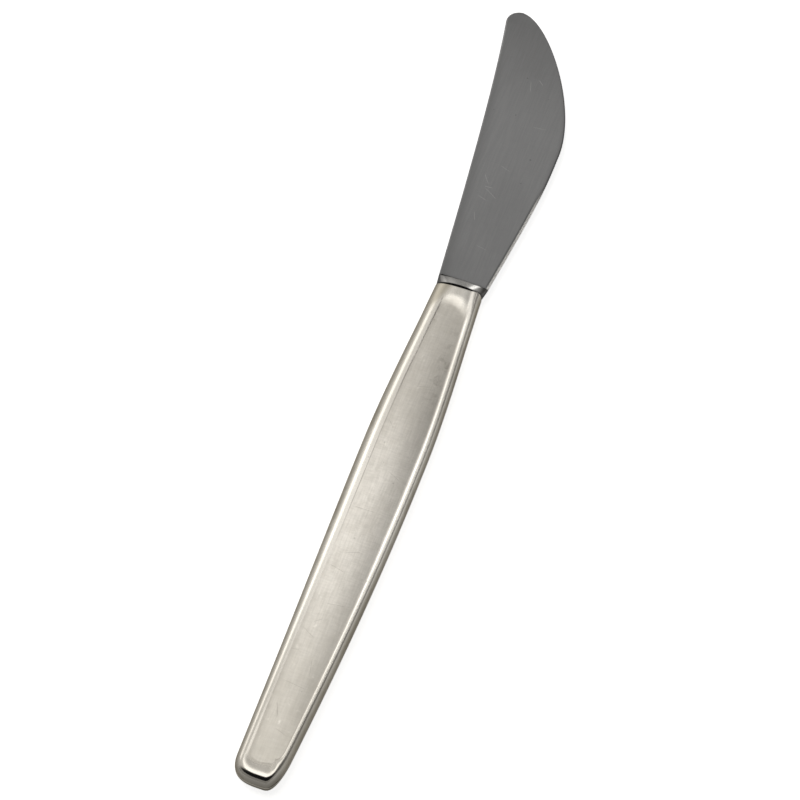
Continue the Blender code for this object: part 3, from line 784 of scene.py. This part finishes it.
def makeBladeLoft(values):
    b = bladeShape
    tree, given, result = newGrower("bladeLoft", values)
    (backEnd, faceEnd, facetEnd, _), _ = ringShares()
    grid = addNode("GeometryNodeMeshGrid", {"Size X": 1.0, "Size Y": 1.0, "Vertices X": given["Stations"],
                                            "Vertices Y": given["Ring Points"]})
    place = parts(addNode("GeometryNodeInputPosition", tree=tree))
    quarter = math.pi / 2
    along = calc("SINE", (place["X"] + 0.5) * quarter)  # closer stations at the tip
    around = 1.0 - calc("ABSOLUTE", place["Y"]) * 2.0
    face = calc("SIGN", place["Y"] * -1.0)

    def zone(start, end):
        return calc("DIVIDE", around - start, end - start, clamp=True)

    back, flank, facet, edge = zone(0.0, backEnd), zone(backEnd, faceEnd), zone(faceEnd, facetEnd), zone(facetEnd, 1.0)
    spread = mixValue(b["flankEase"], flank, (1.0 - calc("COSINE", flank * math.pi)) * 0.5)
    lines = [addNode("GeometryNodeSampleCurve", {"Curves": given["Geometry"], "Factor": along, "Curve Index": index},
                     "Position", mode="FACTOR", data_type="FLOAT_VECTOR", use_all_curves=False) for index in (0, 1)]
    width = calcVector("DISTANCE", *lines, out="Value")
    fadeBefore, fadeAfter = b["groundFade"]
    ground = ramp(along, given["Ground Share"] - fadeBefore, given["Ground Share"] + fadeAfter)
    facetWidth = mixValue(ground, given["Facet Width"], given["Plain Facet Width"])
    facetWidth = calc("MINIMUM", facetWidth, width * b["facetLimit"])
    rounding = calc("MINIMUM", given["Back Rounding"], width * b["roundingLimit"])
    backTurn = back * quarter
    inset = rounding * (1.0 - calc("COSINE", backTurn)) + spread * (width - rounding - facetWidth) + facet * facetWidth
    flat = addNode("ShaderNodeMix", {0: inset / width, 4: lines[0], 5: lines[1]}, 1, data_type="VECTOR")
    thinFrom, thinTo = b["tipThinning"]
    backHalf = mixValue(along, given["Spine Thickness"], given["Tip Thickness"]) * 0.5
    backHalf = backHalf * ramp(along, thinFrom, 1.0, 1.0, thinTo)
    facetHalf = calc("MINIMUM", given["Facet Thickness"] * 0.5, backHalf)
    height = mixValue(spread, backHalf * calc("SINE", backTurn), facetHalf)
    height = mixValue(facet, height, given["Edge Thickness"] * 0.5) * calc("COSINE", edge * quarter)
    lift = addNode("ShaderNodeCombineXYZ", {2: height * face})
    shine = ramp(facet, *b["facetShine"]) * (1.0 - ground)
    # the mask is stored while the grid is still flat, because it reads the grid's own places
    masked = addNode("GeometryNodeStoreNamedAttribute", {"Geometry": grid, "Name": "facet", "Value": shine},
                     data_type="FLOAT", domain="POINT")
    lofted = addNode("GeometryNodeSetPosition", {"Geometry": masked, "Position": calcVector("ADD", flat, lift)})
    return closeTree(tree, lofted, given, result)


def belowShoulder(shoulder, ringPoints):
    b = bladeShape
    (backEnd, _, facetEnd, _), _ = ringShares()
    aroundShare = 1 - np.abs(np.linspace(-1, 1, ringPoints))
    side = np.sign(np.linspace(1, -1, ringPoints))
    across = (shoulder[0, 1] - shoulder[:, 1]) / (shoulder[0, 1] - shoulder[ringPoints // 2, 1])
    outer, _ = skinRows(np.zeros(1), 0.0, np.array([handleLength]))
    section = outer[0][::-1]  # the handle's skin at its mouth
    upright = np.sin(np.clip(aroundShare / backEnd, 0, 1) * np.pi / 2)
    upright = upright * np.cos(np.clip((aroundShare - facetEnd) / (1 - facetEnd), 0, 1) * np.pi / 2)
    # the bolster's foot is rounder than the mouth it sits in
    footShare = (1 - np.cos(np.pi * aroundShare)) / 2
    mouthY = mix(section[-1, 1], section[0, 1], footShare)
    footTop = section[:, 2].max() * (1 - np.abs(2 * footShare - 1) ** b["footRound"]) ** (1 / b["footRound"])
    mouthZ = np.minimum(np.interp(mouthY, section[:, 1], section[:, 2]), footTop) * side
    mouth = np.column_stack([np.full(ringPoints, faceX), mouthY, mouthZ])
    rows = []
    for x, width in ((faceX - b["tangLength"], b["tangEndWidth"]), (faceX, b["tangWidth"])):
        height = upright * side * b["tangThickness"] / 2
        rows.append(np.column_stack([np.full(ringPoints, x), (0.5 - across) * width, height]))
    rows.insert(0, rows[0] * (1, b["tangFold"], 0))  # the tang's end folds flat
    lip = b["bolsterLip"]
    rows.append(mouth * (1, 1 - lip / (handleShape["mouthWidth"] / 2), 1 - lip / halfThick))
    for share in np.linspace(0, 1, b["coveRows"] + 1)[:-1]:
        row = mix(mouth, shoulder, mix(lip / (shoulderX - faceX), 1, share))
        cove = 0.5 * share + 0.5 * smooth((share - b["coveTurn"]) / (1 - b["coveTurn"]))
        row[:, 2] = mix(mouth[:, 2], shoulder[:, 2], cove)
        rows.append(row)
    return np.array(rows)


def bladeMasks(points, ringPoints):
    b = bladeShape
    toSpine = np.linalg.norm(points - points[:, :1], axis=2)
    toEdge = np.linalg.norm(points - points[:, ringPoints // 2:ringPoints // 2 + 1], axis=2)
    fromMouth = points[..., 0] - faceX
    fromShoulder = points[..., 0] - shoulderX
    onBlade = fromShoulder > 0
    fadeStart, fadeSpan = b["grooveFade"]
    fades = 1 - smooth((fromShoulder / b["length"] - b["groundShare"] + fadeStart) / fadeSpan)
    groove = np.exp(-((toEdge - b["facetWidth"] - b["grooveOffset"]) / b["grooveWidth"]) ** 2)
    # painted shade: the blade darker along its spine and its edge, and towards the tip
    borders = [1 - smooth(toSpine / b["borderWidth"]), 1 - smooth(toEdge / (b["edgeBorder"] * b["borderWidth"]))]
    borders.append(b["tipShadeStrength"] * smooth(1 - (tipX - points[..., 0]) / b["tipShade"]))
    # dirt and a painted shadow in the joint at the handle's mouth, deepest on the cutting side
    darkStart, darkSpan = b["edgeJointFade"]
    darkReach = b["jointDirt"] + b["edgeJointDirt"] * smooth((-points[..., 1] - darkStart) / darkSpan)
    # the shoulder mask is a painted shade line where the blade meets the bolster's cove
    return {"groove": groove * fades * onBlade, "borderShade": np.maximum.reduce(borders) * onBlade,
            "bolster": (fromShoulder < -1e-6).astype(float),
            "shoulder": np.exp(-(fromShoulder / b["shoulderShade"]) ** 2),
            "jointDirtShadow": (1 - smooth(fromMouth / darkReach)) * (fromMouth > -1e-5)}


def addBlade():
    b = bladeShape
    _, ringPoints = ringShares()
    guide = addGuide("blade_lines", bladeLines())
    values = {"Stations": b["stations"], "Ring Points": ringPoints, "Spine Thickness": b["spineThickness"],
              "Tip Thickness": b["tipThickness"], "Back Rounding": b["backRounding"], "Facet Width": b["facetWidth"],
              "Plain Facet Width": b["plainFacetWidth"], "Facet Thickness": b["facetThickness"],
              "Edge Thickness": b["edgeThickness"], "Ground Share": b["groundShare"], "Finish": steel}
    lofted = grow(guide, makeBladeLoft(values), values)
    wedge = np.array([vertex.co for vertex in lofted.vertices]).reshape(b["stations"], ringPoints, 3) - origin
    facet = np.array([item.value for item in lofted.attributes["facet"].data]).reshape(b["stations"], ringPoints)
    bpy.data.meshes.remove(lofted)
    # bolster and tang go on below the blade's open end, point for point
    below = belowShoulder(wedge[0], ringPoints)
    points = np.concatenate([below, wedge])
    masks = {"facet": np.concatenate([np.zeros(below.shape[:2]), facet]), **bladeMasks(points, ringPoints)}
    faces = gridFaces(len(points), ringPoints)
    piece = addPiece("steel_blade", points.reshape(-1, 3), faces, steel, masks, sharpAngle=12)
    # only the blade keeps its fine edges, and the cove of the bolster runs round smoothly
    mesh = piece.data
    ends = np.array([edge.vertices[:] for edge in mesh.edges])
    placeX = np.array([vertex.co.x for vertex in mesh.vertices])[ends].mean(axis=1) - origin[0]
    onCove = (placeX > faceX + 1.01 * b["bolsterLip"]) & (placeX < shoulderX - 1e-5)
    sharp = mesh.attributes["sharp_edge"].data
    sharp.foreach_set("value", np.array([item.value for item in sharp]) & ~onCove)
    return piece


bladePiece = addBlade()
print("blade:", len(bladePiece.data.polygons), "faces")


# fine teeth ground across the facet, from the heel to where the facet narrows

teethShape = {"pitch": 0.00042, "width": 0.00018, "height": 0.00002, "widthRange": (0.8, 1.1), "lengthShare": 0.9,
              "heelGap": 0.012, "endGap": 0.02, "guideStations": 160, "seed": 4}


def teethValues(face):
    b, t = bladeShape, teethShape
    tilt = math.atan2((b["facetThickness"] - b["edgeThickness"]) / 2, b["facetWidth"])
    return {"Pitch": t["pitch"], "Length": b["facetWidth"] * t["lengthShare"], "Width": t["width"],
            "Height": t["height"], "Tilt": face * tilt, "Seed": t["seed"], "Finish": groundEdge}


def makeEdgeTeeth():
    tree, given, result = newGrower("edgeTeeth", teethValues(1))
    upright = addNode("GeometryNodeSetCurveNormal", {"Curve": given["Geometry"]}, mode="Z_UP")
    spots = addNode("GeometryNodeCurveToPoints", {"Curve": upright, "Length": given["Pitch"]}, mode="LENGTH")
    sizes = {"Vertices": 4, "Side Segments": 1, "Radius": 0.5, "Depth": 1.0}
    bar = addNode("GeometryNodeMeshCylinder", sizes, tree=tree)
    laid = addNode("GeometryNodeTransform", {"Geometry": bar, "Rotation": (0.0, math.pi / 2, 0.0)})
    tilt = addNode("FunctionNodeAxisAngleToRotation", {"Axis": (0.0, 0.0, 1.0), "Angle": given["Tilt"]})
    turn = {"Rotation": spots["Rotation"], "Rotate By": tilt}
    turned = addNode("FunctionNodeRotateRotation", turn, rotation_space="LOCAL")
    vary = addNode("FunctionNodeRandomValue", {"Seed": given["Seed"]}, 1, data_type="FLOAT")
    amount = ramp(vary, 0.0, 1.0, *teethShape["widthRange"])
    size = addNode("ShaderNodeCombineXYZ", {0: given["Length"], 1: given["Height"] * 2.0, 2: given["Width"] * amount})
    teeth = addNode("GeometryNodeInstanceOnPoints", {"Points": spots["Points"], "Instance": laid, "Rotation": turned,
                                                     "Scale": size})
    return closeTree(tree, teeth, given, result)


def addTeeth(name, face, tree):
    b, t = bladeShape, teethShape
    shares = np.linspace(t["heelGap"], b["groundShare"] - t["endGap"], t["guideStations"])
    spineAt, edgeAt = (sampleLine(line, shares) for line in bladeLines())
    middle = edgeAt + unit(spineAt - edgeAt) * b["facetWidth"] / 2
    height = (b["facetThickness"] + b["edgeThickness"]) / 4
    guide = addGuide(name + "_path", [middle], face * height)
    return keepMesh(name, grow(guide, tree, teethValues(face)), sharpAngle=20)


teethTree = makeEdgeTeeth()
frontTeeth = addTeeth("front_edge_teeth", 1, teethTree)
rearTeeth = addTeeth("rear_edge_teeth", -1, teethTree)
print("edge teeth:", len(frontTeeth.data.polygons) + len(rearTeeth.data.polygons), "faces")


# stage: floor, soft boxes, surround and camera

cameraView = {"aim": (-0.00547, 0.00044, 0.0028), "distance": 0.9911, "turn": 18.74, "elevation": 58.0,
              "roll": 0.854, "lens": 193.13, "sensor": 36.0, "clipStart": 0.01}
turn = math.radians(cameraView["turn"])
farWay = Vector((math.cos(turn), math.sin(turn), 0))
rightWay = Vector((math.sin(turn), -math.cos(turn), 0))


def towards(azimuth, elevation):
    a, e = math.radians(azimuth), math.radians(elevation)
    return (farWay * math.cos(a) + rightWay * math.sin(a)) * math.cos(e) + Vector((0, 0, math.sin(e)))


def addCamera():
    lens = bpy.data.cameras.new("photo_camera")
    lens.sensor_width, lens.lens = cameraView["sensor"], cameraView["lens"]
    lens.clip_start = cameraView["clipStart"]
    camera = addObject("photo_camera", lens)
    way = towards(180, cameraView["elevation"])
    camera.location = Vector(cameraView["aim"]) + way * cameraView["distance"]
    level = (-way).to_track_quat("-Z", "Y")
    camera.rotation_euler = (level @ Quaternion((0, 0, 1), math.radians(cameraView["roll"]))).to_euler()
    scene.camera = camera


# azimuth from far round to the right, elevation, distance, width, height, brightness that a mirror would see
softBoxes = {
    "far_left_box": (-36, 27, 1.3, 0.85, 0.44, 1.1),
    "right_box": (61, 55, 1.3, 0.28, 0.28, 1.5),
    "overhead_box": (-50, 77, 1.2, 0.75, 0.50, 1.1),
    "small_box": (28, 24, 1.3, 0.26, 0.28, 1.25),
}
lampTint = (1.0, 0.985, 0.955)


def addSoftBox(name, azimuth, elevation, distance, width, height, brightness):
    lamp = bpy.data.lights.new(name, "AREA")
    lamp.shape = "RECTANGLE"
    lamp.size, lamp.size_y = width, height
    lamp.energy = brightness * math.pi * lamp.size * lamp.size_y
    lamp.color = lampTint
    holder = addObject(name, lamp)
    way = towards(azimuth, elevation)
    holder.location = way * distance
    holder.rotation_euler = (-way).to_track_quat("-Z", "Y").to_euler()


# each fade runs over the share of a direction that points right, up or far
surround = {"left": (0.84, 0.82, 0.79, 1), "right": (0.26, 0.253, 0.243, 1), "rightFade": (-0.06, 0.18),
            "strip": (0.46, 0.45, 0.435, 1), "dark": (0.012, 0.012, 0.012, 1), "darkFade": (0.36, 0.47),
            "farFade": (-0.2, 0.15)}


def addSurround():
    world = bpy.data.worlds.new("studio_surround")
    world.use_nodes = True
    scene.world = world
    tree = world.node_tree
    tree.nodes.clear()
    way = addNode("ShaderNodeTexCoord", out="Generated", tree=tree)
    far, right = (calcVector("DOT_PRODUCT", way, tuple(axis), out="Value") for axis in (farWay, rightWay))
    lit = mixColour(ramp(right, *surround["rightFade"]), surround["left"], surround["right"])
    # behind the camera the studio is dark, above a lit strip along the horizon
    behind = mixColour(ramp(parts(way)["Z"], *surround["darkFade"]), surround["strip"], surround["dark"])
    studio = mixColour(ramp(far, *surround["farFade"]), behind, lit)
    light = addNode("ShaderNodeBackground", {"Color": studio, "Strength": 1.0})
    addNode("ShaderNodeOutputWorld", {"Surface": light})


paper = {"colours": ((0.93, 0.93, 0.925, 1), (0.90, 0.90, 0.895, 1)), "glow": 0.78, "glowInMetal": 0.32,
         "glowColours": ((1, 1, 1, 1), (0.99, 0.99, 0.99, 1)), "roughness": 0.9, "specular": 0.1, "reach": 3.0}


def addFloor():
    finish, tree, shader, coords = newFinish("paleFloor")
    cloud = addNode("ShaderNodeTexNoise", {"Vector": coords, "Scale": 3.0, "Detail": 2.0})
    # the camera and the metal see the floor as white paper that still takes the shadow
    path = addNode("ShaderNodeLightPath", tree=tree)
    inMetal = path["Is Glossy Ray"] * paper["glowInMetal"]
    seen = strongest(path["Is Camera Ray"], path["Is Transmission Ray"], inMetal)
    feedAll(shader, {"Base Color": mixColour(cloud, *paper["colours"]), "Roughness": paper["roughness"],
                     "Specular IOR Level": paper["specular"], "Emission Color": mixColour(cloud, *paper["glowColours"]),
                     "Emission Strength": seen * paper["glow"]})
    mesh = bpy.data.meshes.new("paper_floor")
    corners = [(x * paper["reach"], y * paper["reach"], 0) for x, y in ((-1, -1), (1, -1), (1, 1), (-1, 1))]
    mesh.from_pydata(corners, [], [(0, 1, 2, 3)])
    mesh.materials.append(finish)
    floor = addObject("paper_floor", mesh)


addCamera()
for name, box in softBoxes.items():
    addSoftBox(name, *box)
addSurround()
addFloor()
scene.view_settings.view_transform = "Standard"
print("stage:", len(softBoxes), "soft boxes, floor, surround and camera")


# what each piece stands for and rides on

for piece, node, slot in ((frontHalf, "front_handle_half", "silver"), (rearHalf, "rear_handle_half", "silver"),
                          (seam, "solder_seam", "solder"), (bladePiece, "blade", "steel")):
    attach(piece, "root")
    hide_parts(node)
for piece in (frontTeeth, rearTeeth):
    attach(piece, "root")
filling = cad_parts["handle_filling"]
filling.data.materials.clear()
filling.data.materials.append(cement)
